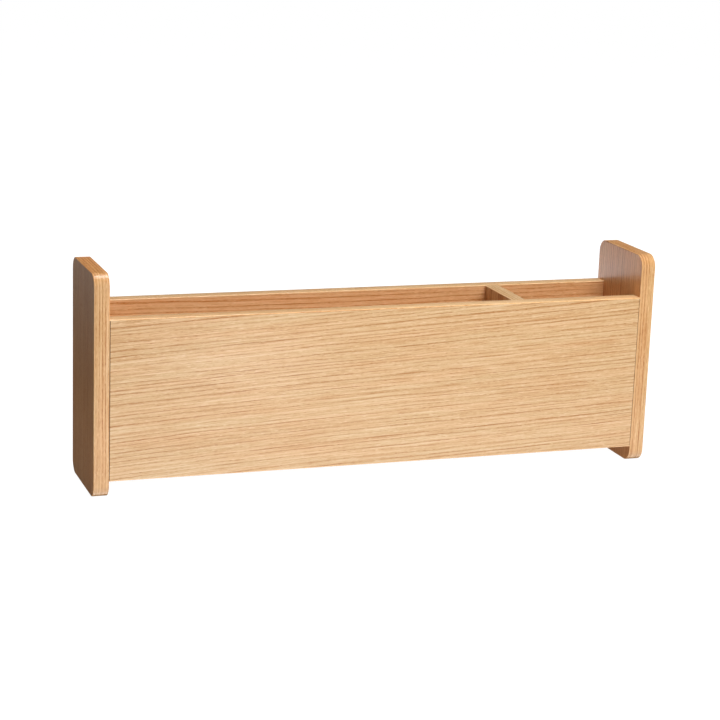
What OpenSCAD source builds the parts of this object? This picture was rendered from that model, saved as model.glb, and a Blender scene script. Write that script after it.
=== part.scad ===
// Letter tray: a long, narrow open box of veneered boards on two tall ends.
// Frame: origin on the surface it stands on, midway between the ends and midway front to back.
// +X runs along the tray to the right, +Y to the back, +Z up. Units are millimetres.

/* [Overall size] */
// Length over the outer faces of the two ends
tray_l = 580; // [420:10:760]
// Depth from the front face to the back face
tray_d = 100; // [84:2:140]
// Height of the two ends
tray_h = 218; // [200:2:260]

/* [Boards] */
// Thickness of a finished 15 mm class board, veneers included
board_t = 15; // [13:1:18]
// Thickness of one face veneer
veneer_t = 0.6; // [0.4:0.1:0.8]
// Thickness of the edge banding
band_t = 1; // [0.8:0.1:1.5]
// Chamfer that eases the banding's two outer arrises
arris = 0.5; // [0.3:0.1:0.6]
// Radius of the four corners of each end
corner_r = 13; // [8:1:20]

/* [Front and back panels] */
// Height of the front and back panels
panel_h = 158; // [140:1:165]
// Clearance below the panels, which makes the ends stand as feet
foot_gap = 17; // [10:1:25]

/* [Floor] */
// Thickness of the floor board, veneers included
floor_t = 12; // [10:1:15]
// Height of the floor's underside above the panels' lower edges
floor_lift = 4; // [2:1:8]

/* [Divider] */
// Clear width of the small compartment at the right
small_w = 121; // [60:1:150]

/* [Dowels] */
// Diameter of the dowels that fix the panels to the ends
panel_dowel_d = 8; // [6:1:8]
// Length of the dowels that fix the panels to the ends
panel_dowel_l = 30; // [26:1:36]
// Diameter of the floor's and the divider's dowels
small_dowel_d = 6; // [5:1:6]
// Length of the floor's and the divider's dowels
small_dowel_l = 24; // [22:1:26]
// Length of a dowel that sits in the face of a board
dowel_in_face = 10; // [8:1:10]
// Room left for glue beyond each end of a dowel
glue_gap = 1; // [0.5:0.1:1]
// Chamfer on the ends of a dowel
dowel_chamfer = 0.8; // [0.4:0.1:1]

/* [Hidden] */
$fn = 48;

core_t = board_t - 2 * veneer_t;
inner_l = tray_l - 2 * board_t;
inner_d = tray_d - 2 * board_t;
panel_y = -tray_d / 2 + board_t / 2;
panel_top = foot_gap + panel_h;
floor_z = foot_gap + floor_lift;
floor_mid_z = floor_z + floor_t / 2;
floor_top = floor_z + floor_t;
floor_core_t = floor_t - 2 * veneer_t;
divider_h = panel_top - floor_top;
divider_x = tray_l / 2 - board_t - small_w - board_t / 2;

// Rows of dowels, each spread evenly over the joint that it holds
panel_dowel_z = [for (i = [0:2]) foot_gap + panel_h * (i + 0.5) / 3];
floor_end_dowel_y = [-inner_d / 4, inner_d / 4];
floor_side_dowel_x = [-inner_l / 3, 0, inner_l / 3];
divider_dowel_z = [for (i = [0:1]) floor_top + divider_h * (i + 0.5) / 2];

oak = [0.87, 0.71, 0.53];
oak_edge = [0.86, 0.68, 0.48];
oak_shade = [0.78, 0.58, 0.41];
chipboard = [0.72, 0.61, 0.46];
beech = [0.84, 0.66, 0.47];

// ---- Placing ----

// Children are drawn for the left of the tray, and mirrored when they belong to the right
module at_side(right) {
    mirror([right ? 1 : 0, 0, 0])
        children();
}

// Children are drawn for the front of the tray, and mirrored when they belong to the back
module at_face(back) {
    mirror([0, back ? 1 : 0, 0])
        children();
}

// Turns a shape drawn in a plane, with its thickness up, to stand across the tray:
// first axis to +Y, second axis to +Z, thickness to +X
module stand_across() {
    rotate([90, 0, 90])
        children();
}

// ---- Dowels and their bores ----

// Beech dowel along +X, with chamfered ends, from x = 0 to its length
module dowel(d, length) {
    r = d / 2;
    rotate([0, 90, 0])
        rotate_extrude()
            polygon([
                [0, 0], [r - dowel_chamfer, 0], [r, dowel_chamfer],
                [r, length - dowel_chamfer], [r - dowel_chamfer, length], [0, length]
            ]);
}

// Bore for a dowel along X, deep enough on both sides of the joint at x = 0.
// The dowel reaches dowel_in_face into the board on the -X side.
module dowel_bore(d, length) {
    translate([-dowel_in_face - glue_gap, 0, 0])
        rotate([0, 90, 0])
            cylinder(h = length + 2 * glue_gap, d = d);
}

// The same pair along Y, for joints in the faces of the front panel
module along_y() {
    rotate([0, 0, 90])
        children();
}

// Bores of every joint at the left end, both its panels and its floor
module left_end_bores() {
    for (z = panel_dowel_z, y = [panel_y, -panel_y])
        translate([-inner_l / 2, y, z])
            dowel_bore(panel_dowel_d, panel_dowel_l);
    for (y = floor_end_dowel_y)
        translate([-inner_l / 2, y, floor_mid_z])
            dowel_bore(small_dowel_d, small_dowel_l);
}

// Bores between the floor and the front panel
module front_floor_bores() {
    for (x = floor_side_dowel_x)
        translate([x, -inner_d / 2, floor_mid_z])
            along_y()
                dowel_bore(small_dowel_d, small_dowel_l);
}

// Bores between the divider and the front panel
module front_divider_bores() {
    for (z = divider_dowel_z)
        translate([divider_x, -inner_d / 2, z])
            along_y()
                dowel_bore(small_dowel_d, small_dowel_l);
}

// ---- Edge banding ----

// Section of the banding as [outwards, across the board], with its outer arrises eased
function band_section(width) = [
    [0, 0], [band_t - arris, 0], [band_t, arris],
    [band_t, width - arris], [band_t - arris, width], [0, width]
];

// Straight length along +X that faces outwards to +Y and is as wide as the board along +Z
module band_run(length, width) {
    rotate([90, 0, 90])
        linear_extrude(length)
            polygon(band_section(width));
}

// ---- Ends ----

// Outline of an end in the plane, from the surface upwards, drawn in by inset all round
module end_outline(inset) {
    w = tray_d - 2 * inset;
    h = tray_h - 2 * inset;
    r = corner_r - inset;
    translate([0, tray_h / 2]) {
        square([w - 2 * r, h], center = true);
        square([w, h - 2 * r], center = true);
        for (x = [-1, 1], y = [-1, 1])
            translate([x * (w / 2 - r), y * (h / 2 - r)])
                circle(r = r);
    }
}

// A sheet of the left end, from its depth below the outer face
module end_sheet(depth, t) {
    translate([-tray_l / 2 + depth, 0, 0])
        stand_across()
            linear_extrude(t)
                end_outline(band_t);
}

module end_core() {
    difference() {
        end_sheet(veneer_t, core_t);
        left_end_bores();
    }
}

module end_outer_veneer() {
    end_sheet(0, veneer_t);
}

module end_inner_veneer() {
    difference() {
        end_sheet(board_t - veneer_t, veneer_t);
        left_end_bores();
    }
}

// One strip of banding, bent round the four corners of the end
module end_edge_band() {
    corner_x = tray_d / 2 - corner_r;
    corner_y = tray_h / 2 - corner_r;
    // Each pass is the angle that a straight side faces, its length and its distance out
    sides = [
        [0, 2 * corner_x, tray_h / 2], [90, 2 * corner_y, tray_d / 2],
        [180, 2 * corner_x, tray_h / 2], [270, 2 * corner_y, tray_d / 2]
    ];
    translate([-tray_l / 2, 0, tray_h / 2])
        stand_across()
            for (s = sides)
                rotate([0, 0, s[0]]) {
                    translate([-s[1] / 2, s[2] - band_t, 0])
                        band_run(s[1], board_t);
                    translate([s[1] / 2, s[2] - corner_r, 0])
                        rotate_extrude(angle = 90)
                            translate([corner_r - band_t, 0])
                                polygon(band_section(board_t));
                }
}

// ---- Front and back panels ----

module panel_core() {
    difference() {
        translate([-inner_l / 2, panel_y - core_t / 2, foot_gap + band_t])
            cube([inner_l, core_t, panel_h - 2 * band_t]);
        at_side(false) left_end_bores();
        at_side(true) left_end_bores();
        front_floor_bores();
        front_divider_bores();
    }
}

// The outer veneer is chamfered where it meets the ends, which leaves a fine groove there
module panel_outer_veneer() {
    half_l = inner_l / 2;
    translate([0, -tray_d / 2, foot_gap + band_t])
        linear_extrude(panel_h - 2 * band_t)
            polygon([
                [-half_l, veneer_t], [-half_l + veneer_t, 0],
                [half_l - veneer_t, 0], [half_l, veneer_t]
            ]);
}

module panel_inner_veneer() {
    difference() {
        translate([-inner_l / 2, panel_y + core_t / 2, foot_gap + band_t])
            cube([inner_l, veneer_t, panel_h - 2 * band_t]);
        front_floor_bores();
        front_divider_bores();
    }
}

module panel_top_band() {
    translate([-inner_l / 2, panel_y + board_t / 2, panel_top - band_t])
        rotate([90, 0, 0])
            band_run(inner_l, board_t);
}

module panel_bottom_band() {
    translate([-inner_l / 2, panel_y - board_t / 2, foot_gap + band_t])
        rotate([-90, 0, 0])
            band_run(inner_l, board_t);
}

// ---- Floor ----

module floor_sheet(z, t) {
    translate([-inner_l / 2, -inner_d / 2, z])
        cube([inner_l, inner_d, t]);
}

// ---- Divider ----

module divider_sheet(x, t) {
    translate([divider_x + x, -inner_d / 2, floor_top])
        cube([t, inner_d, divider_h - band_t]);
}

// ---- The tray's own pieces ----

module left_end_core() {
    color(chipboard) at_side(false) end_core();
}

module left_end_outer_veneer() {
    color(oak) at_side(false) end_outer_veneer();
}

module left_end_inner_veneer() {
    color(oak) at_side(false) end_inner_veneer();
}

module left_end_edge_band() {
    color(oak_edge) at_side(false) end_edge_band();
}

module right_end_core() {
    color(chipboard) at_side(true) end_core();
}

module right_end_outer_veneer() {
    color(oak) at_side(true) end_outer_veneer();
}

module right_end_inner_veneer() {
    color(oak) at_side(true) end_inner_veneer();
}

module right_end_edge_band() {
    color(oak_edge) at_side(true) end_edge_band();
}

module front_panel_core() {
    color(chipboard) at_face(false) panel_core();
}

module front_panel_outer_veneer() {
    color(oak) at_face(false) panel_outer_veneer();
}

module front_panel_inner_veneer() {
    color(oak_shade) at_face(false) panel_inner_veneer();
}

module front_panel_top_band() {
    color(oak_edge) at_face(false) panel_top_band();
}

module front_panel_bottom_band() {
    color(oak_edge) at_face(false) panel_bottom_band();
}

module back_panel_core() {
    color(chipboard) at_face(true) panel_core();
}

module back_panel_outer_veneer() {
    color(oak) at_face(true) panel_outer_veneer();
}

module back_panel_inner_veneer() {
    color(oak_shade) at_face(true) panel_inner_veneer();
}

module back_panel_top_band() {
    color(oak_edge) at_face(true) panel_top_band();
}

module back_panel_bottom_band() {
    color(oak_edge) at_face(true) panel_bottom_band();
}

module floor_core() {
    color(chipboard)
        difference() {
            floor_sheet(floor_z + veneer_t, floor_core_t);
            at_side(false) left_end_bores();
            at_side(true) left_end_bores();
            at_face(false) front_floor_bores();
            at_face(true) front_floor_bores();
        }
}

module floor_top_veneer() {
    color(oak_shade) floor_sheet(floor_top - veneer_t, veneer_t);
}

module floor_bottom_veneer() {
    color(oak_shade) floor_sheet(floor_z, veneer_t);
}

module divider_core() {
    color(chipboard)
        difference() {
            divider_sheet(-core_t / 2, core_t);
            at_face(false) front_divider_bores();
            at_face(true) front_divider_bores();
        }
}

module divider_left_veneer() {
    color(oak_shade) divider_sheet(-board_t / 2, veneer_t);
}

module divider_right_veneer() {
    color(oak_shade) divider_sheet(core_t / 2, veneer_t);
}

module divider_top_band() {
    color(oak_edge)
        translate([divider_x - board_t / 2, -inner_d / 2, panel_top - band_t])
            rotate([0, 0, 90])
                rotate([90, 0, 0])
                    band_run(inner_d, board_t);
}

// Dowels between one end and one panel, drawn for the left front corner
module corner_dowels() {
    color(beech)
        for (z = panel_dowel_z)
            translate([-inner_l / 2 - dowel_in_face, panel_y, z])
                dowel(panel_dowel_d, panel_dowel_l);
}

module left_front_dowels() {
    corner_dowels();
}

module left_back_dowels() {
    at_face(true) corner_dowels();
}

module right_front_dowels() {
    at_side(true) corner_dowels();
}

module right_back_dowels() {
    at_side(true) at_face(true) corner_dowels();
}

// Dowels between the left end and the floor
module end_floor_dowels() {
    color(beech)
        for (y = floor_end_dowel_y)
            translate([-inner_l / 2 - dowel_in_face, y, floor_mid_z])
                dowel(small_dowel_d, small_dowel_l);
}

module left_floor_dowels() {
    end_floor_dowels();
}

module right_floor_dowels() {
    at_side(true) end_floor_dowels();
}

// Dowels between the front panel and the floor
module side_floor_dowels() {
    color(beech)
        for (x = floor_side_dowel_x)
            translate([x, -inner_d / 2 - dowel_in_face, floor_mid_z])
                along_y()
                    dowel(small_dowel_d, small_dowel_l);
}

module front_floor_dowels() {
    side_floor_dowels();
}

module back_floor_dowels() {
    at_face(true) side_floor_dowels();
}

// Dowels between the front panel and the divider
module side_divider_dowels() {
    color(beech)
        for (z = divider_dowel_z)
            translate([divider_x, -inner_d / 2 - dowel_in_face, z])
                along_y()
                    dowel(small_dowel_d, small_dowel_l);
}

module divider_front_dowels() {
    side_divider_dowels();
}

module divider_back_dowels() {
    at_face(true) side_divider_dowels();
}

left_end_core();
left_end_outer_veneer();
left_end_inner_veneer();
left_end_edge_band();
right_end_core();
right_end_outer_veneer();
right_end_inner_veneer();
right_end_edge_band();
front_panel_core();
front_panel_outer_veneer();
front_panel_inner_veneer();
front_panel_top_band();
front_panel_bottom_band();
back_panel_core();
back_panel_outer_veneer();
back_panel_inner_veneer();
back_panel_top_band();
back_panel_bottom_band();
floor_core();
floor_top_veneer();
floor_bottom_veneer();
divider_core();
divider_left_veneer();
divider_right_veneer();
divider_top_band();
left_front_dowels();
left_back_dowels();
right_front_dowels();
right_back_dowels();
left_floor_dowels();
right_floor_dowels();
front_floor_dowels();
back_floor_dowels();
divider_front_dowels();
divider_back_dowels();
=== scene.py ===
import math

import bpy
from mathutils import Matrix, Vector


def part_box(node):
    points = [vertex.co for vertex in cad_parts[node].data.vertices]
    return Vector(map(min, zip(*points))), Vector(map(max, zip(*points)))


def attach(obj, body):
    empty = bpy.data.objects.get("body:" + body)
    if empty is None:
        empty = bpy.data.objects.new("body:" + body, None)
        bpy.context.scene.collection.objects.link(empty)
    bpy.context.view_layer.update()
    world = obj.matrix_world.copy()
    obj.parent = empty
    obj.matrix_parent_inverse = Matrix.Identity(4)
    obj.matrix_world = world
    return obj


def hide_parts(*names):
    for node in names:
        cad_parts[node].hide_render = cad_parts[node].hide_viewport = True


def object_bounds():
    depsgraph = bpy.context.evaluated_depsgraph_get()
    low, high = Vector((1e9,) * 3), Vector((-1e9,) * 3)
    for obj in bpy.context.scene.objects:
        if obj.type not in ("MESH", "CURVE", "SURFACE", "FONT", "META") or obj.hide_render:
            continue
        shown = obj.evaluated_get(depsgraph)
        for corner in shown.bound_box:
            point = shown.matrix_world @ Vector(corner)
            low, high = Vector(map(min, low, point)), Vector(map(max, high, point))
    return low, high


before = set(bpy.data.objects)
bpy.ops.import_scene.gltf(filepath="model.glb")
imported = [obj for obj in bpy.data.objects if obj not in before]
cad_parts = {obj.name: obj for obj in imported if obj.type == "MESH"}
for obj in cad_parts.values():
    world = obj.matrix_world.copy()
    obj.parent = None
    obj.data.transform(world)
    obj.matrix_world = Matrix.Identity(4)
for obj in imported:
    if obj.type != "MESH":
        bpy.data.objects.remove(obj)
cad_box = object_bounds()

# ---------------------------------------------------------------------------------------------
# Camera. A long lens stands to the left of the tray and a little above it, and is tipped down
# at the open top. Its roll is the slight lean of a hand-levelled tripod.

tray_low, tray_high = cad_box
camera_azimuth = math.radians(19.64)
camera_pitch = math.radians(14.03)
camera_roll = math.radians(2.05)
camera_distance = 2.0063
camera_target = Vector((-0.0260, tray_low.y, 0.1243))

camera_data = bpy.data.cameras.new("camera")
camera_data.lens = 102.5
camera_data.sensor_width = 36
camera_data.clip_end = 100
camera = bpy.data.objects.new("camera", camera_data)
look = Vector((
    math.sin(camera_azimuth) * math.cos(camera_pitch),
    math.cos(camera_azimuth) * math.cos(camera_pitch),
    -math.sin(camera_pitch),
))
aim = (
    Matrix.Rotation(-camera_azimuth, 4, "Z")
    @ Matrix.Rotation(math.pi / 2 - camera_pitch, 4, "X")
    @ Matrix.Rotation(camera_roll, 4, "Z")
)
camera.matrix_world = Matrix.Translation(camera_target - look * camera_distance) @ aim
bpy.context.scene.collection.objects.link(camera)
bpy.context.scene.camera = camera

# ---------------------------------------------------------------------------------------------
# Board cores. Every board is a fibreboard core between two veneers: fine pressed wood fibre,
# sawn to size, drilled for its dowels and glued up. It shows nowhere once the tray is together.


def add_node(tree, kind, inputs=(), **settings):
    """Adds a node to a tree. Inputs maps a socket's name or number to a value or to a socket."""
    made = tree.nodes.new(kind)
    for name, value in settings.items():
        setattr(made, name, value)
    for key, value in dict(inputs).items():
        if isinstance(value, bpy.types.NodeSocket):
            tree.links.new(value, made.inputs[key])
        else:
            made.inputs[key].default_value = value
    return made


def math_node(tree, operation, *values, clamp=False):
    made = add_node(tree, "ShaderNodeMath", enumerate(values), operation=operation, use_clamp=clamp)
    return made.outputs[0]


def fine_noise(tree, vector, scale, detail=2.0, roughness=0.5):
    """Noise whose cells are one unit long before the vector is scaled, as a value near 0.5."""
    scaled = add_node(tree, "ShaderNodeVectorMath", {0: vector, 1: scale}, operation="MULTIPLY")
    made = add_node(
        tree,
        "ShaderNodeTexNoise",
        {"Vector": scaled.outputs[0], "Scale": 1.0, "Detail": detail, "Roughness": roughness},
    )
    return made.outputs[0]


def ramp(tree, value, stops):
    """A colour ramp. Stops are (place, colour) pairs, with colours as linear red, green, blue."""
    made = add_node(tree, "ShaderNodeValToRGB", {0: value})
    bands = made.color_ramp.elements
    while len(bands) < len(stops):
        bands.new(0.5)
    for band, (place, colour) in zip(bands, stops):
        band.position = place
        band.color = (*colour, 1.0)
    return made.outputs[0]


def new_material(name):
    material = bpy.data.materials.new(name)
    material.use_nodes = True
    tree = material.node_tree
    tree.nodes.clear()
    shader = tree.nodes.new("ShaderNodeBsdfPrincipled")
    output = tree.nodes.new("ShaderNodeOutputMaterial")
    tree.links.new(shader.outputs[0], output.inputs[0])
    return material, tree, shader


def fibreboard():
    """Pressed wood fibre: brown, matt, and finely flecked all through."""
    material, tree, shader = new_material("fibreboard")
    place = add_node(tree, "ShaderNodeTexCoord").outputs["Object"]
    flecks = fine_noise(tree, place, (900, 900, 900), detail=4)
    clouds = fine_noise(tree, place, (60, 60, 60))
    mix = math_node(tree, "MULTIPLY_ADD", flecks, 0.75, math_node(tree, "MULTIPLY", clouds, 0.25))
    colour = ramp(tree, mix, [(0.3, (0.24, 0.15, 0.08)), (0.7, (0.44, 0.31, 0.19))])
    bump = add_node(tree, "ShaderNodeBump", {"Strength": 0.4, "Distance": 0.0003, "Height": flecks})
    tree.links.new(colour, shader.inputs["Base Color"])
    tree.links.new(bump.outputs[0], shader.inputs["Normal"])
    shader.inputs["Roughness"].default_value = 0.9
    return material


def finish_node(node, material):
    """Gives a carried-over CAD node its material."""
    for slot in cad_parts[node].material_slots:
        slot.material = material


core_material = fibreboard()
for core in ("left_end", "right_end", "front_panel", "back_panel", "floor", "divider"):
    finish_node(core + "_core", core_material)

# ---------------------------------------------------------------------------------------------
# Face veneers. Each is one rift-cut leaf of oak, 0.6 mm thick, pressed on to its core, sanded
# and given a thin satin lacquer. The grain stands upright on the ends and lies along the panels.


def oak_figure():
    """The look of lacquered oak from a grain vector in metres: along, across, through."""
    group = bpy.data.node_groups.new("oak figure", "ShaderNodeTree")
    sockets = group.interface
    sockets.new_socket("Grain", in_out="INPUT", socket_type="NodeSocketVector")
    sockets.new_socket("Wander", in_out="INPUT", socket_type="NodeSocketFloat")
    sockets.new_socket("Ring Width", in_out="INPUT", socket_type="NodeSocketFloat")
    sockets.new_socket("Depth", in_out="INPUT", socket_type="NodeSocketFloat")
    sockets.new_socket("Tone", in_out="INPUT", socket_type="NodeSocketVector")
    sockets.new_socket("Color", in_out="OUTPUT", socket_type="NodeSocketColor")
    sockets.new_socket("Roughness", in_out="OUTPUT", socket_type="NodeSocketFloat")
    sockets.new_socket("Height", in_out="OUTPUT", socket_type="NodeSocketFloat")
    start = add_node(group, "NodeGroupInput")
    end = add_node(group, "NodeGroupOutput")

    def noise(length, width, detail=2.0, roughness=0.5, source=None):
        """Noise in cells of the given length and width, in millimetres."""
        scale = (1000 / length, 1000 / width, 1000 / width)
        return fine_noise(group, source or grain, scale, detail, roughness)

    def centred(value, reach):
        """Turns noise near 0.5 into a swing of about this much either side of nothing."""
        return math_node(group, "MULTIPLY", math_node(group, "SUBTRACT", value, 0.5), reach)

    grain = start.outputs["Grain"]

    # The fibres drift to either side in long waves and in short ones.
    long_wave = centred(noise(520, 200, 0.0), 0.013)
    short_wave = centred(noise(80, 18, 1.0), 0.0018)
    sway = math_node(group, "ADD", long_wave, short_wave)
    sway = math_node(group, "MULTIPLY", sway, start.outputs["Wander"])
    offset = add_node(group, "ShaderNodeCombineXYZ", {1: sway})
    swayed = add_node(group, "ShaderNodeVectorMath", {0: grain, 1: offset.outputs[0]}, operation="ADD")
    grain = swayed.outputs[0]

    # Growth rings cut nearly square to the leaf show as lines, with a porous dark side.
    across = add_node(group, "ShaderNodeSeparateXYZ", {0: grain}).outputs[1]
    rings = math_node(group, "DIVIDE", across, start.outputs["Ring Width"])
    rings = math_node(group, "ADD", rings, centred(noise(1200, 19, 1.0), 2.4))
    ring = math_node(group, "FRACT", rings)
    grey = [(0.0, 0.7), (0.06, 1.0), (0.16, 0.70), (0.30, 0.18), (0.55, 0.02), (0.92, 0.0), (1.0, 0.7)]
    porous = ramp(group, ring, [(place, (value,) * 3) for place, value in grey])
    strength = math_node(group, "MULTIPLY_ADD", noise(600, 4.5, 1.0), 2.0, -0.34, clamp=True)
    breaks = math_node(group, "MULTIPLY_ADD", noise(60, 1.3, 2.0), 2.4, -0.30, clamp=True)
    porous = math_node(group, "MULTIPLY", porous, strength)
    porous = math_node(group, "MULTIPLY", porous, breaks)

    # Bundles of fibre, single fibres, and open pores that gather on the porous side.
    tone = centred(noise(260, 40, 1.0), 0.16)
    bundles = centred(noise(420, 2.4, 1.0), 0.40)
    fibres = centred(noise(32, 0.70, 2.0, 0.6), 1.5)
    pore_cells = noise(5, 0.42, 1.0)
    pores = math_node(group, "MULTIPLY_ADD", pore_cells, 9.0, -5.1, clamp=True)
    gather = math_node(group, "MULTIPLY_ADD", porous, 0.6, 0.4)
    pores = math_node(group, "MULTIPLY", pores, gather)
    flecks = math_node(group, "MULTIPLY_ADD", noise(6.5, 0.6, 1.0), 7.0, -4.2, clamp=True)
    streaks = math_node(group, "MULTIPLY_ADD", noise(210, 1.7, 1.0), 7.0, -4.4, clamp=True)

    shade = math_node(group, "ADD", tone, bundles)
    shade = math_node(group, "ADD", shade, fibres)
    shade = math_node(group, "MULTIPLY_ADD", porous, -0.62, shade)
    shade = math_node(group, "MULTIPLY_ADD", pores, -0.60, shade)
    shade = math_node(group, "MULTIPLY_ADD", flecks, 0.50, shade)
    shade = math_node(group, "MULTIPLY_ADD", streaks, 0.36, shade)
    shade = math_node(group, "ADD", shade, 0.66, clamp=True)
    colour = ramp(group, shade, [
        (0.0, (0.380, 0.150, 0.036)),
        (0.25, (0.495, 0.255, 0.092)),
        (0.5, (0.590, 0.352, 0.160)),
        (0.75, (0.665, 0.430, 0.228)),
        (1.0, (0.730, 0.510, 0.300)),
    ])

    # Some stretches are pinker and some more straw-coloured.
    blush = ramp(group, noise(120, 9, 1.0), [(0.3, (1.01, 0.98, 0.96)), (0.7, (0.99, 1.02, 1.02))])
    tinted = add_node(
        group,
        "ShaderNodeMix",
        {"Factor": 1.0, 6: colour, 7: blush},
        data_type="RGBA",
        blend_type="MULTIPLY",
    )
    roughness = math_node(group, "MULTIPLY_ADD", pores, 0.25, 0.40)
    roughness = math_node(group, "MULTIPLY_ADD", porous, 0.08, roughness)
    height = math_node(group, "MULTIPLY_ADD", pores, -1.0, math_node(group, "MULTIPLY", fibres, 0.3))

    def scaled(source, factor):
        made = add_node(group, "ShaderNodeVectorMath", {0: source, 3: factor}, operation="SCALE")
        return made.outputs[0]

    # A deeper leaf keeps the level of its light wood and sinks in its dark wood and its blue.
    light_wood = 0.62
    deep = add_node(
        group,
        "ShaderNodeGamma",
        {"Color": scaled(tinted.outputs[2], 1 / light_wood), "Gamma": start.outputs["Depth"]},
    )
    level = scaled(start.outputs["Tone"], light_wood)
    toned = add_node(group, "ShaderNodeVectorMath", {0: deep.outputs[0], 1: level}, operation="MULTIPLY")
    group.links.new(toned.outputs[0], end.inputs["Color"])
    group.links.new(roughness, end.inputs["Roughness"])
    group.links.new(height, end.inputs["Height"])
    return group


oak = oak_figure()
plain_tone = (1.0, 1.0, 1.0)


def oak_material(
    name,
    vector_of,
    offset,
    turn=(0, 0, 0),
    wander=1.0,
    ring_width=0.0041,
    depth=1.0,
    tone=plain_tone,
    wear_and_painted_light=None,
):
    """Lacquered oak. The grain vector is turned, then moved to its own part of the log.

    Depth is a number, or a function of the tree that gives a socket. The wear and painted light argument
    is such a function too, and gives what the colour is multiplied by: real wear, painted shade and
    painted highlights.
    """
    material, tree, shader = new_material(name)
    placed = add_node(
        tree,
        "ShaderNodeMapping",
        {"Vector": vector_of(tree), "Location": offset, "Rotation": turn},
    )
    figure = add_node(tree, "ShaderNodeGroup", node_tree=oak)
    figure.inputs["Wander"].default_value = wander
    figure.inputs["Ring Width"].default_value = ring_width
    if callable(depth):
        tree.links.new(depth(tree), figure.inputs["Depth"])
    else:
        figure.inputs["Depth"].default_value = depth
    figure.inputs["Tone"].default_value = tone
    tree.links.new(placed.outputs[0], figure.inputs["Grain"])
    bump = add_node(
        tree,
        "ShaderNodeBump",
        {"Strength": 0.35, "Distance": 0.00012, "Height": figure.outputs["Height"]},
    )
    colour = figure.outputs["Color"]
    if wear_and_painted_light:
        worn_and_painted = add_node(tree, "ShaderNodeVectorMath", {0: colour, 3: wear_and_painted_light(tree)}, operation="SCALE")
        colour = worn_and_painted.outputs[0]
    tree.links.new(colour, shader.inputs["Base Color"])
    tree.links.new(figure.outputs["Roughness"], shader.inputs["Roughness"])
    tree.links.new(bump.outputs[0], shader.inputs["Normal"])
    shader.inputs["Coat Weight"].default_value = 0.6
    shader.inputs["Coat Roughness"].default_value = 0.2
    return material


def object_place(tree):
    return add_node(tree, "ShaderNodeTexCoord").outputs["Object"]


panel_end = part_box("front_panel_outer_veneer")[1].x
# Painted shade in the groove at a panel's ends: the outer leaf's colour falls to groove_shade over this
# width.
groove_width = 0.0008
groove_shade = 0.12


def painted_groove_shade(tree):
    """Darkens each end of a panel's outer leaf: painted shade in the fine groove where it meets the end
    board.
    """
    parts = add_node(tree, "ShaderNodeSeparateXYZ", {0: object_place(tree)}).outputs
    reach = math_node(tree, "ABSOLUTE", parts[0])
    starts = panel_end - groove_width
    darkest = panel_end - groove_width / 2
    edge = {"Value": reach, "From Min": starts, "From Max": darkest}
    shade = {"To Min": 1.0, "To Max": groove_shade}
    return add_node(tree, "ShaderNodeMapRange", {**edge, **shade}).outputs[0]


# How a leaf's own directions turn to grain directions: along, across, through. The front panel's
# leaf was laid a little askew, so its grain rises to the right.
upright_turn = (0, math.radians(90), 0)
lying_turn = (math.radians(90), 0, 0)
flat_turn = (0, 0, 0)
across_turn = (math.radians(90), 0, math.radians(90))
front_turn = (math.radians(90), 0, math.radians(3.1))

# Leaf, turn, part of the log, wander, depth and tone. The left end's outer leaf is toned darker than the
# right end's, and the inner leaves of the ends and panels and the divider's leaves are made deeper and
# redder: painted shade, set to match how each face is lit.
leaves = [
    ("left_end_outer_veneer", upright_turn, (0.31, 0.02, 0.4), 0.5, 1.0, (0.76, 0.54, 0.34)),
    ("left_end_inner_veneer", upright_turn, (0.83, 0.13, 0.9), 0.5, 1.05, (1.0, 0.80, 0.60)),
    ("right_end_outer_veneer", upright_turn, (1.37, 0.22, 1.3), 0.5, 1.0, (0.94, 0.76, 0.56)),
    ("right_end_inner_veneer", upright_turn, (1.91, 0.31, 1.8), 0.5, 1.05, (0.98, 0.71, 0.50)),
    ("front_panel_outer_veneer", front_turn, (2.43, 0.43, 2.2), 1.0, 1.0, plain_tone),
    ("front_panel_inner_veneer", lying_turn, (3.07, 0.52, 2.7), 1.0, 1.05, (1.0, 0.88, 0.72)),
    ("back_panel_outer_veneer", lying_turn, (3.71, 0.67, 3.1), 1.0, 1.0, plain_tone),
    ("back_panel_inner_veneer", lying_turn, (4.33, 0.78, 3.6), 1.0, 0.95, (1.08, 0.90, 0.80)),
    ("floor_top_veneer", flat_turn, (4.97, 0.89, 4.2), 1.0, 1.05, (1.0, 0.90, 0.75)),
    ("floor_bottom_veneer", flat_turn, (5.61, 0.97, 4.7), 1.0, 1.0, (1.0, 0.92, 0.80)),
    ("divider_left_veneer", across_turn, (6.23, 1.07, 5.1), 0.6, 1.15, (0.95, 0.82, 0.66)),
    ("divider_right_veneer", across_turn, (6.89, 1.19, 5.6), 0.6, 1.1, (1.0, 0.84, 0.68)),
]
for leaf, turn, offset, wander, depth, tone in leaves:
    name = "oak " + leaf.replace("_", " ")
    # The panels' outer leaves carry the painted groove shade at their ends.
    wear_and_painted_light = painted_groove_shade if "panel_outer" in leaf else None
    material = oak_material(name, object_place, offset, turn, wander, depth=depth, tone=tone, wear_and_painted_light=wear_and_painted_light)
    finish_node(leaf, material)

# ---------------------------------------------------------------------------------------------
# Edge banding. Strips of 1 mm oak, glued round the edge of each board and sanded flush, with
# both arrises eased by hand. The strip round an end starts and stops under its foot.

arris_radius = 0.0007
corner_radius = 0.013
corner_steps = 20
band_thickness = 0.001
board_thickness = 0.015
# How much paler the eased arrises are: partly wear, partly a painted highlight.
arris_wear_and_highlight_paling = 0.28


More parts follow.
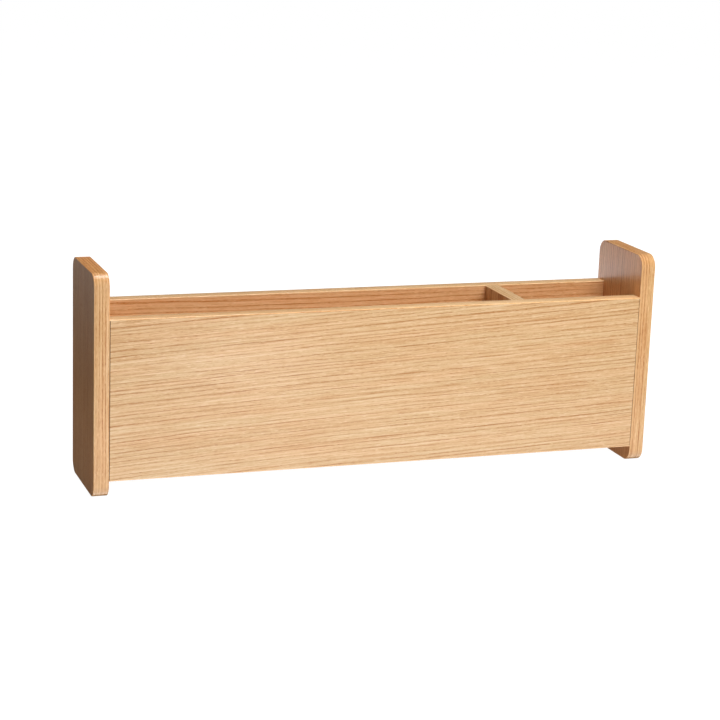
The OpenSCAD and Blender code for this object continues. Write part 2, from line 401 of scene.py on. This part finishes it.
def banding_tree():
    """Sweeps the strip's section along a curve that runs on the edge of the bare board."""
    tree = bpy.data.node_groups.new("edge banding", "GeometryNodeTree")
    sockets = tree.interface
    sockets.new_socket("Geometry", in_out="INPUT", socket_type="NodeSocketGeometry")
    for name in ("Board Thickness", "Band Thickness", "Arris Radius"):
        sockets.new_socket(name, in_out="INPUT", socket_type="NodeSocketFloat")
    sockets.new_socket("Across", in_out="INPUT", socket_type="NodeSocketVector")
    sockets.new_socket("Material", in_out="INPUT", socket_type="NodeSocketMaterial")
    sockets.new_socket("Geometry", in_out="OUTPUT", socket_type="NodeSocketGeometry")
    start = add_node(tree, "NodeGroupInput").outputs
    end = add_node(tree, "NodeGroupOutput")

    half = math_node(tree, "MULTIPLY", start["Board Thickness"], 0.5)
    minus_half = math_node(tree, "MULTIPLY", start["Board Thickness"], -0.5)
    corners = [
        add_node(tree, "ShaderNodeCombineXYZ", {0: x, 1: y}).outputs[0]
        for x, y in (
            (half, 0.0),
            (half, start["Band Thickness"]),
            (minus_half, start["Band Thickness"]),
            (minus_half, 0.0),
        )
    ]
    section = add_node(
        tree,
        "GeometryNodeCurvePrimitiveQuadrilateral",
        {f"Point {i + 1}": corner for i, corner in enumerate(corners)},
        mode="POINTS",
    )
    # Only the two outer corners are eased: the inner two lie against the board.
    place = add_node(tree, "GeometryNodeInputPosition").outputs[0]
    height = add_node(tree, "ShaderNodeSeparateXYZ", {0: place})
    outer = math_node(tree, "GREATER_THAN", height.outputs[1], 1e-5)
    easing = math_node(tree, "MULTIPLY", outer, start["Arris Radius"])
    eased = add_node(
        tree,
        "GeometryNodeFilletCurve",
        {"Curve": section.outputs[0], "Count": 4, "Radius": easing},
        mode="POLY",
    )
    section_place = add_node(
        tree,
        "GeometryNodeStoreNamedAttribute",
        {"Geometry": eased.outputs[0], "Name": "section", "Value": place},
        data_type="FLOAT_VECTOR",
        domain="POINT",
    )
    length_so_far = add_node(tree, "GeometryNodeSplineParameter").outputs["Length"]
    run = add_node(
        tree,
        "GeometryNodeStoreNamedAttribute",
        {"Geometry": start["Geometry"], "Name": "run", "Value": length_so_far},
        data_type="FLOAT",
        domain="POINT",
    )
    faced = add_node(
        tree,
        "GeometryNodeSetCurveNormal",
        {"Curve": run.outputs[0], "Normal": start["Across"]},
        mode="FREE",
    )
    swept = add_node(
        tree,
        "GeometryNodeCurveToMesh",
        {"Curve": faced.outputs[0], "Profile Curve": section_place.outputs[0], "Fill Caps": True},
    )
    whole = add_node(tree, "GeometryNodeRealizeInstances", {0: swept.outputs[0]})
    painted = add_node(
        tree,
        "GeometryNodeSetMaterial",
        {"Geometry": whole.outputs[0], "Material": start["Material"]},
    )
    tree.links.new(painted.outputs[0], end.inputs[0])
    return tree


banding = banding_tree()


def plain_mesh(source, name):
    """Turns an object with its modifiers into a plain mesh object, and drops the source."""
    ready = source.evaluated_get(bpy.context.evaluated_depsgraph_get())
    mesh = bpy.data.meshes.new_from_object(ready)
    mesh.name = name
    bpy.data.objects.remove(source)
    piece = bpy.data.objects.new(name, mesh)
    bpy.context.scene.collection.objects.link(piece)
    return piece


def set_input(modifier, tree, name, value):
    for item in tree.interface.items_tree:
        if item.item_type == "SOCKET" and item.in_out == "INPUT" and item.name == name:
            modifier[item.identifier] = value


def path_object(points, name):
    """A curve object with one open straight-sided spline through the points."""
    curve = bpy.data.curves.new(name, "CURVE")
    curve.dimensions = "3D"
    spline = curve.splines.new("POLY")
    spline.points.add(len(points) - 1)
    for spot, point in zip(spline.points, points):
        spot.co = (*point, 1.0)
    path = bpy.data.objects.new(name, curve)
    bpy.context.scene.collection.objects.link(path)
    return path


def edge_band(node, points, across, width, material):
    """Makes one strip along the points and lets it stand for the CAD node."""
    path = path_object(points, node + "_path")
    modifier = path.modifiers.new("banding", "NODES")
    modifier.node_group = banding
    set_input(modifier, banding, "Board Thickness", width)
    set_input(modifier, banding, "Band Thickness", band_thickness)
    set_input(modifier, banding, "Arris Radius", arris_radius)
    set_input(modifier, banding, "Across", across)
    set_input(modifier, banding, "Material", material)
    strip = plain_mesh(path, node + "_strip")
    strip.data.shade_smooth()
    strip.data.set_sharp_from_angle(angle=math.radians(12))
    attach(strip, "root")
    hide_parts(node)


def band_grain(tree):
    """Along the strip, across it and through it, whichever way the strip is bent."""
    run = add_node(tree, "ShaderNodeAttribute", attribute_name="run").outputs["Fac"]
    section = add_node(tree, "ShaderNodeAttribute", attribute_name="section").outputs["Vector"]
    parts = add_node(tree, "ShaderNodeSeparateXYZ", {0: section}).outputs
    return add_node(tree, "ShaderNodeCombineXYZ", {0: run, 1: parts[0], 2: parts[1]}).outputs[0]


def end_outline(low, high):
    """The bare board's outline in the YZ plane, from under the foot round to under the foot."""
    bare = corner_radius - band_thickness
    middle_x = (low.x + high.x) / 2
    points = [(middle_x, 0.0, low.z + band_thickness)]
    corners = [
        (high.y - corner_radius, low.z + corner_radius, -90),
        (high.y - corner_radius, high.z - corner_radius, 0),
        (low.y + corner_radius, high.z - corner_radius, 90),
        (low.y + corner_radius, low.z + corner_radius, 180),
    ]
    for y, z, first in corners:
        for step in range(corner_steps + 1):
            angle = math.radians(first + 90 * step / corner_steps)
            points.append((middle_x, y + bare * math.cos(angle), z + bare * math.sin(angle)))
    points.append(points[0])
    return points


def arris_wear_and_highlight(tree):
    """The eased arrises are paler than the flat of the strip: partly wear from hands and sandpaper,
    partly a painted highlight.
    """
    section = add_node(tree, "ShaderNodeAttribute", attribute_name="section").outputs["Vector"]
    parts = add_node(tree, "ShaderNodeSeparateXYZ", {0: section}).outputs
    aside = math_node(tree, "ABSOLUTE", parts[0])
    aside = math_node(tree, "SUBTRACT", aside, board_thickness / 2 - arris_radius)
    aside = math_node(tree, "DIVIDE", aside, arris_radius, clamp=True)
    outward = math_node(tree, "SUBTRACT", parts[1], band_thickness - arris_radius)
    outward = math_node(tree, "DIVIDE", outward, arris_radius, clamp=True)
    both = math_node(tree, "MULTIPLY", math_node(tree, "MULTIPLY", aside, outward), 2.0, clamp=True)
    return math_node(tree, "MULTIPLY_ADD", both, arris_wear_and_highlight_paling, 1.0)


def path_length(points):
    return sum(math.dist(a, b) for a, b in zip(points, points[1:]))


# Across the top of an end, the strip is painted deeper and darker than down its sides: painted shade, not
# a difference in the wood.
# The change starts just before the flat top meets the corner and is over a little way round it.
end_band_tone = (1.0, 0.99, 0.98)
side_depth = 1.22
change_before = 0.004
change_after = 0.016
# Each end: the painted depth and painted darkening of the shade across its top.
for side, offset, painted_top_depth, painted_top_shade in (
    ("left", (0.12, 0.031, 7.1), 1.8, 0.91),
    ("right", (0.61, 0.097, 7.9), 1.45, 0.85),
):
    node = side + "_end_edge_band"
    low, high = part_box(node)
    outline = end_outline(low, high)
    halfway = path_length(outline) / 2
    flat_top = (high.y - low.y) / 2 - corner_radius

    def across_top(tree, on_top, elsewhere):
        """One value where the strip crosses the top of the end and another along its sides."""
        run = add_node(tree, "ShaderNodeAttribute", attribute_name="run").outputs["Fac"]
        away = math_node(tree, "ABSOLUTE", math_node(tree, "SUBTRACT", run, halfway))
        reach = {"Value": away, "From Min": flat_top - change_before, "From Max": flat_top + change_after}
        values = {"To Min": on_top, "To Max": elsewhere}
        return add_node(tree, "ShaderNodeMapRange", {**reach, **values}).outputs[0]

    def painted_redder_top(tree):
        return across_top(tree, painted_top_depth, side_depth)

    # Painted shade across the top, times the paler arrises.
    def painted_darker_top(tree):
        return math_node(tree, "MULTIPLY", across_top(tree, painted_top_shade, 1.0), arris_wear_and_highlight(tree))

    material = oak_material(
        f"oak {side} end band",
        band_grain,
        offset,
        wander=0.12,
        ring_width=0.0029,
        depth=painted_redder_top,
        tone=end_band_tone,
        wear_and_painted_light=painted_darker_top,
    )
    edge_band(node, outline, (1, 0, 0), high.x - low.x, material)

# A panel's strips run along its top and bottom edges, the divider's along its top edge.
# The front panel's strips are toned lighter than the back panel's to match how the front's top strip is
# lit: painted light.
for panel, offset, tone in (
    ("front_panel", (1.1, 0.17, 8.3), 1.16),
    ("back_panel", (1.9, 0.23, 8.8), 1.03),
):
    for edge in ("top", "bottom"):
        node = f"{panel}_{edge}_band"
        low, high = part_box(node)
        middle_y = (low.y + high.y) / 2
        if edge == "top":
            points = [(low.x, middle_y, low.z), (high.x, middle_y, low.z)]
        else:
            points = [(high.x, middle_y, high.z), (low.x, middle_y, high.z)]
        spot = (offset[0], offset[1] + (0.4 if edge == "top" else 0), offset[2])
        material = oak_material(
            f"oak {panel} {edge} band",
            band_grain,
            spot,
            wander=0.12,
            ring_width=0.0035,
            tone=(tone,) * 3,
            wear_and_painted_light=arris_wear_and_highlight,
        )
        edge_band(node, points, (0, 1, 0), high.y - low.y, material)

low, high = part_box("divider_top_band")
middle_x = (low.x + high.x) / 2
material = oak_material(
    "oak divider top band",
    band_grain,
    (2.7, 0.31, 9.4),
    wander=0.12,
    ring_width=0.0035,
    wear_and_painted_light=arris_wear_and_highlight,
)
points = [(middle_x, high.y, low.z), (middle_x, low.y, low.z)]
edge_band("divider_top_band", points, (1, 0, 0), high.x - low.x, material)

# ---------------------------------------------------------------------------------------------
# Dowels. Turned beech pins with pressed flutes and chamfered ends hold every joint. They are
# glued half into each board, three or two to a joint, and show nowhere once the tray is together.

flute_count = 20
flute_depth = 0.00025
dowel_chamfer = 0.0008


def dowel_tree():
    """Sets one fluted dowel on every point, along the Along vector."""
    tree = bpy.data.node_groups.new("fluted dowels", "GeometryNodeTree")
    sockets = tree.interface
    sockets.new_socket("Geometry", in_out="INPUT", socket_type="NodeSocketGeometry")
    for name in ("Length", "Radius", "Chamfer", "Flute Depth"):
        sockets.new_socket(name, in_out="INPUT", socket_type="NodeSocketFloat")
    sockets.new_socket("Flutes", in_out="INPUT", socket_type="NodeSocketInt")
    sockets.new_socket("Along", in_out="INPUT", socket_type="NodeSocketVector")
    sockets.new_socket("Material", in_out="INPUT", socket_type="NodeSocketMaterial")
    sockets.new_socket("Geometry", in_out="OUTPUT", socket_type="NodeSocketGeometry")
    start = add_node(tree, "NodeGroupInput").outputs
    end = add_node(tree, "NodeGroupOutput")

    # The section has four points for every flute, and every fourth one is pressed in.
    around = math_node(tree, "MULTIPLY", start["Flutes"], 4.0)
    round_section = add_node(
        tree,
        "GeometryNodeCurvePrimitiveCircle",
        {"Resolution": around, "Radius": start["Radius"]},
        mode="RADIUS",
    )
    number = add_node(tree, "GeometryNodeInputIndex").outputs[0]
    pressed = math_node(tree, "LESS_THAN", math_node(tree, "MODULO", number, 4.0), 0.5)
    depth = math_node(tree, "DIVIDE", start["Flute Depth"], start["Radius"])
    inward = math_node(tree, "MULTIPLY", math_node(tree, "MULTIPLY", pressed, depth), -1.0)
    place = add_node(tree, "GeometryNodeInputPosition").outputs[0]
    shift = add_node(tree, "ShaderNodeVectorMath", {0: place, 3: inward}, operation="SCALE")
    section = add_node(
        tree,
        "GeometryNodeSetPosition",
        {"Geometry": round_section.outputs[0], "Offset": shift.outputs[0]},
    )

    # The pin's axis has a point at each end and one where each chamfer starts.
    axis = add_node(tree, "GeometryNodeCurvePrimitiveLine", {"Start": (0, 0, 0), "End": (0, 0, 1)})
    axis = add_node(tree, "GeometryNodeResampleCurve", {"Curve": axis.outputs[0], "Count": 4})
    number = add_node(tree, "GeometryNodeInputIndex").outputs[0]
    half = math_node(tree, "MULTIPLY", start["Length"], 0.5)
    inner_half = math_node(tree, "SUBTRACT", half, start["Chamfer"])
    from_middle = math_node(tree, "ABSOLUTE", math_node(tree, "SUBTRACT", number, 1.5))
    at_end = math_node(tree, "GREATER_THAN", from_middle, 1.0)
    upper = math_node(tree, "GREATER_THAN", number, 1.5)
    reach = add_node(tree, "ShaderNodeMix", {"Factor": at_end, "A": inner_half, "B": half}).outputs[0]
    sign = math_node(tree, "MULTIPLY_ADD", upper, 2.0, -1.0)
    spot = add_node(tree, "ShaderNodeCombineXYZ", {2: math_node(tree, "MULTIPLY", reach, sign)})
    spaced = add_node(
        tree,
        "GeometryNodeSetPosition",
        {"Geometry": axis.outputs[0], "Position": spot.outputs[0]},
    )
    narrow = math_node(tree, "DIVIDE", start["Chamfer"], start["Radius"])
    girth = math_node(tree, "MULTIPLY_ADD", math_node(tree, "MULTIPLY", at_end, narrow), -1.0, 1.0)
    pin = add_node(
        tree,
        "GeometryNodeCurveToMesh",
        {
            "Curve": spaced.outputs[0],
            "Profile Curve": section.outputs[0],
            "Scale": girth,
            "Fill Caps": True,
        },
    )
    grained = add_node(
        tree,
        "GeometryNodeStoreNamedAttribute",
        {"Geometry": pin.outputs[0], "Name": "pin", "Value": place},
        data_type="FLOAT_VECTOR",
        domain="POINT",
    )
    turned = add_node(tree, "FunctionNodeAlignRotationToVector", {"Vector": start["Along"]}, axis="Z")
    pins = add_node(
        tree,
        "GeometryNodeInstanceOnPoints",
        {"Points": start["Geometry"], "Instance": grained.outputs[0], "Rotation": turned.outputs[0]},
    )
    whole = add_node(tree, "GeometryNodeRealizeInstances", {0: pins.outputs[0]})
    painted = add_node(
        tree,
        "GeometryNodeSetMaterial",
        {"Geometry": whole.outputs[0], "Material": start["Material"]},
    )
    tree.links.new(painted.outputs[0], end.inputs[0])
    return tree


def beech():
    """Pale pinkish brown, with short dark flecks that lie along the pin."""
    material, tree, shader = new_material("beech")
    pin = add_node(tree, "ShaderNodeAttribute", attribute_name="pin").outputs["Vector"]
    streaks = fine_noise(tree, pin, (900, 900, 70), detail=3)
    flecks = fine_noise(tree, pin, (2200, 2200, 500))
    flecks = math_node(tree, "MULTIPLY_ADD", flecks, 6.0, -3.6, clamp=True)
    shade = math_node(tree, "MULTIPLY_ADD", flecks, -0.25, streaks, clamp=True)
    colour = ramp(tree, shade, [(0.3, (0.52, 0.31, 0.16)), (0.7, (0.70, 0.47, 0.28))])
    bump = add_node(tree, "ShaderNodeBump", {"Strength": 0.3, "Distance": 0.0001, "Height": streaks})
    tree.links.new(colour, shader.inputs["Base Color"])
    tree.links.new(bump.outputs[0], shader.inputs["Normal"])
    shader.inputs["Roughness"].default_value = 0.7
    return material


dowels = dowel_tree()
beech_material = beech()

# Each joint's dowels stand in a row. The row and the pins run along X, Y or Z.
along_x = (1, 0, 0)
along_y = (0, 1, 0)
along_z = (0, 0, 1)
joints = [
    ("left_front_dowels", 3, along_z, along_x),
    ("left_back_dowels", 3, along_z, along_x),
    ("right_front_dowels", 3, along_z, along_x),
    ("right_back_dowels", 3, along_z, along_x),
    ("left_floor_dowels", 2, along_y, along_x),
    ("right_floor_dowels", 2, along_y, along_x),
    ("front_floor_dowels", 3, along_x, along_y),
    ("back_floor_dowels", 3, along_x, along_y),
    ("divider_front_dowels", 2, along_z, along_y),
    ("divider_back_dowels", 2, along_z, along_y),
]
for node, count, row, along in joints:
    low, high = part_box(node)
    row, along = Vector(row), Vector(along)
    size = high - low
    length = size.dot(along)
    radius = (size.x + size.y + size.z - length - size.dot(row)) / 2
    middle = (low + high) / 2
    span = size.dot(row) - 2 * radius
    spots = [middle + row * span * (number / (count - 1) - 0.5) for number in range(count)]
    mesh = bpy.data.meshes.new(node + "_spots")
    mesh.from_pydata(spots, [], [])
    row_object = bpy.data.objects.new(node + "_spots", mesh)
    bpy.context.scene.collection.objects.link(row_object)
    modifier = row_object.modifiers.new("dowels", "NODES")
    modifier.node_group = dowels
    set_input(modifier, dowels, "Length", length)
    set_input(modifier, dowels, "Radius", radius)
    set_input(modifier, dowels, "Chamfer", dowel_chamfer)
    set_input(modifier, dowels, "Flute Depth", flute_depth)
    set_input(modifier, dowels, "Flutes", flute_count)
    set_input(modifier, dowels, "Along", along)
    set_input(modifier, dowels, "Material", beech_material)
    pins = plain_mesh(row_object, node + "_fluted")
    pins.data.shade_smooth()
    pins.data.set_sharp_from_angle(angle=math.radians(25))
    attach(pins, "root")
    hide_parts(node)

# ---------------------------------------------------------------------------------------------
# Studio. A white floor and surround, a large soft key light in front and above, a low one that
# fills in from the front, one overhead, one at the right and behind, one behind, and a faint glow
# low at the left. The floor differs for the eye, for falling light and for what gloss reflects.

bpy.context.scene.view_settings.view_transform = "Standard"
floor_grey = (0.80, 0.80, 0.80, 1)
eye_white = 1.20
diffuse_glow = 0.8


def floor_surface():
    """White to the eye, matt pale grey to falling light, and a lit pool to the lacquer's gloss."""
    material = bpy.data.materials.new("pale floor")
    material.use_nodes = True
    tree = material.node_tree
    tree.nodes.clear()
    rays = add_node(tree, "ShaderNodeLightPath").outputs
    place = add_node(tree, "ShaderNodeTexCoord").outputs["Object"]
    parts = add_node(tree, "ShaderNodeSeparateXYZ", {0: place}).outputs
    near = add_node(
        tree,
        "ShaderNodeMapRange",
        {"Value": parts[1], "From Min": -0.80, "From Max": -0.10, "To Min": 0.02, "To Max": 2.5},
        interpolation_type="SMOOTHSTEP",
    ).outputs[0]
    fade = add_node(
        tree,
        "ShaderNodeMapRange",
        {"Value": parts[0], "From Min": -0.60, "From Max": -0.31, "To Min": 0.1, "To Max": 1.0},
    )
    near = math_node(tree, "MULTIPLY", near, fade.outputs[0])
    away = {"Value": parts[0], "From Min": -0.05, "From Max": 0.40, "To Min": 1.0, "To Max": 0.55}
    near = math_node(tree, "MULTIPLY", near, add_node(tree, "ShaderNodeMapRange", away).outputs[0])
    # A brighter spot stands in front of the middle, and shows as a patch of sheen on the front.
    from_spot = add_node(
        tree,
        "ShaderNodeVectorMath",
        {0: place, 1: (-0.01, -0.53, 0)},
        operation="DISTANCE",
    ).outputs["Value"]
    spot = add_node(
        tree,
        "ShaderNodeMapRange",
        {"Value": from_spot, "From Min": 0.02, "From Max": 0.16, "To Min": 6.0, "To Max": 0.0},
    )
    near = math_node(tree, "ADD", near, spot.outputs[0])

    # Beside and behind the tray the floor is dim, brighter further back and to the right.
    sideways = add_node(
        tree,
        "ShaderNodeMapRange",
        {"Value": parts[0], "From Min": -0.8, "From Max": 0.2},
    )
    grey = [(0.0, 0.24), (0.25, 0.09), (0.36, 0.01), (0.53, 0.02), (0.72, 1.15)]
    clear = ramp(tree, sideways.outputs[0], [(place, (value,) * 3) for place, value in grey])
    beyond = add_node(
        tree,
        "ShaderNodeMapRange",
        {"Value": parts[1], "From Min": 0.1, "From Max": 0.6, "To Min": 0.05, "To Max": 2.2},
    )
    clear = math_node(tree, "MULTIPLY", clear, beyond.outputs[0])
    grey = [(0.43, 0.0), (0.47, 0.06), (0.51, 0.06), (0.515, 0.0)]
    foot = ramp(tree, sideways.outputs[0], [(place, (value,) * 3) for place, value in grey])
    clear = math_node(tree, "ADD", clear, foot)
    behind = math_node(tree, "GREATER_THAN", parts[1], -0.045)
    pool = add_node(tree, "ShaderNodeMix", {"Factor": behind, "A": near, "B": clear}).outputs[0]

    # Which of the three a ray meets depends only on what kind of ray it is.
    bounced = add_node(
        tree,
        "ShaderNodeMix",
        {"Factor": rays["Is Diffuse Ray"], "A": pool, "B": diffuse_glow},
    ).outputs[0]
    strength = add_node(
        tree,
        "ShaderNodeMix",
        {"Factor": rays["Is Camera Ray"], "A": bounced, "B": eye_white},
    )
    share = math_node(tree, "MULTIPLY_ADD", rays["Is Camera Ray"], 0.82, rays["Is Glossy Ray"])
    share = math_node(tree, "MULTIPLY_ADD", rays["Is Diffuse Ray"], 0.64, share)
    matt = add_node(tree, "ShaderNodeBsdfDiffuse", {"Color": floor_grey})
    white = add_node(tree, "ShaderNodeEmission", {"Strength": strength.outputs[0]})
    mixed = add_node(tree, "ShaderNodeMixShader", {0: share, 1: matt.outputs[0], 2: white.outputs[0]})
    output = add_node(tree, "ShaderNodeOutputMaterial")
    tree.links.new(mixed.outputs[0], output.inputs[0])
    return material


floor_mesh = bpy.data.meshes.new("studio_floor")
half_floor = 30.0
floor_corners = [
    (-half_floor, -half_floor, 0),
    (half_floor, -half_floor, 0),
    (half_floor, half_floor, 0),
    (-half_floor, half_floor, 0),
]
floor_mesh.from_pydata(floor_corners, [], [(0, 1, 2, 3)])
floor_mesh.materials.append(floor_surface())
studio_floor = bpy.data.objects.new("studio_floor", floor_mesh)
bpy.context.scene.collection.objects.link(studio_floor)

world = bpy.data.worlds.new("studio")
world.use_nodes = True
bpy.context.scene.world = world
sky = world.node_tree
sky.nodes.clear()
way = add_node(sky, "ShaderNodeTexCoord").outputs["Generated"]
toward_right = add_node(sky, "ShaderNodeSeparateXYZ", {0: way}).outputs[0]
surround = add_node(
    sky,
    "ShaderNodeMapRange",
    {"Value": toward_right, "From Min": -0.6, "From Max": 0.4, "To Min": 0.04, "To Max": 0.16},
)
rays = add_node(sky, "ShaderNodeLightPath").outputs
seen = rays["Is Camera Ray"]
gloss_dimming = -0.75
dim = math_node(sky, "MULTIPLY_ADD", rays["Is Glossy Ray"], gloss_dimming, 1.0)
fall = math_node(sky, "MULTIPLY", surround.outputs[0], dim)
level = add_node(sky, "ShaderNodeMix", {"Factor": seen, "A": fall, "B": 1.0})
backdrop = add_node(sky, "ShaderNodeBackground", {"Color": (1, 1, 1, 1), "Strength": level.outputs[0]})
sky_output = add_node(sky, "ShaderNodeOutputWorld")
sky.links.new(backdrop.outputs[0], sky_output.inputs[0])


def soft_light(name, place, aim_at, size, watts):
    """A rectangular light that faces a point and isn't itself seen."""
    data = bpy.data.lights.new(name, "AREA")
    data.shape = "RECTANGLE"
    data.size, data.size_y = size
    data.energy = watts
    light = bpy.data.objects.new(name, data)
    light.location = place
    light.rotation_mode = "QUATERNION"
    light.rotation_quaternion = (Vector(aim_at) - Vector(place)).to_track_quat("-Z", "Y")
    light.visible_camera = False
    bpy.context.scene.collection.objects.link(light)
    return light


# The key is two lights in one place, and only the weaker one shows in the lacquer.
key_place = (0.28, -1.15, 1.0)
key_size = (0.75, 1.3)
key = soft_light("key", key_place, (0.0, 0.0, 0.1), key_size, 15.5)
key.visible_glossy = False
soft_light("key_sheen", key_place, (0.0, 0.0, 0.1), key_size, 7.2)
soft_light("bounce", (0.15, -1.3, 0.16), (0.0, 0.0, 0.08), (0.8, 0.3), 1.2)
soft_light("top", (0.15, 0.1, 1.7), (0.0, 0.0, 0.1), (0.8, 0.8), 15)
glow = soft_light("glow", (-0.44, 0.0, 0.02), (0.0, 0.0, 0.02), (0.3, 0.03), 0.05)
glow.visible_glossy = False
soft_light("back", (1.3, 0.7, 0.45), (0.0, 0.0, 0.1), (0.6, 0.5), 8)
rear = soft_light("rear", (-0.1, 1.25, 1.3), (0.0, 0.0, 0.1), (1.0, 0.6), 9)
rear.visible_glossy = False
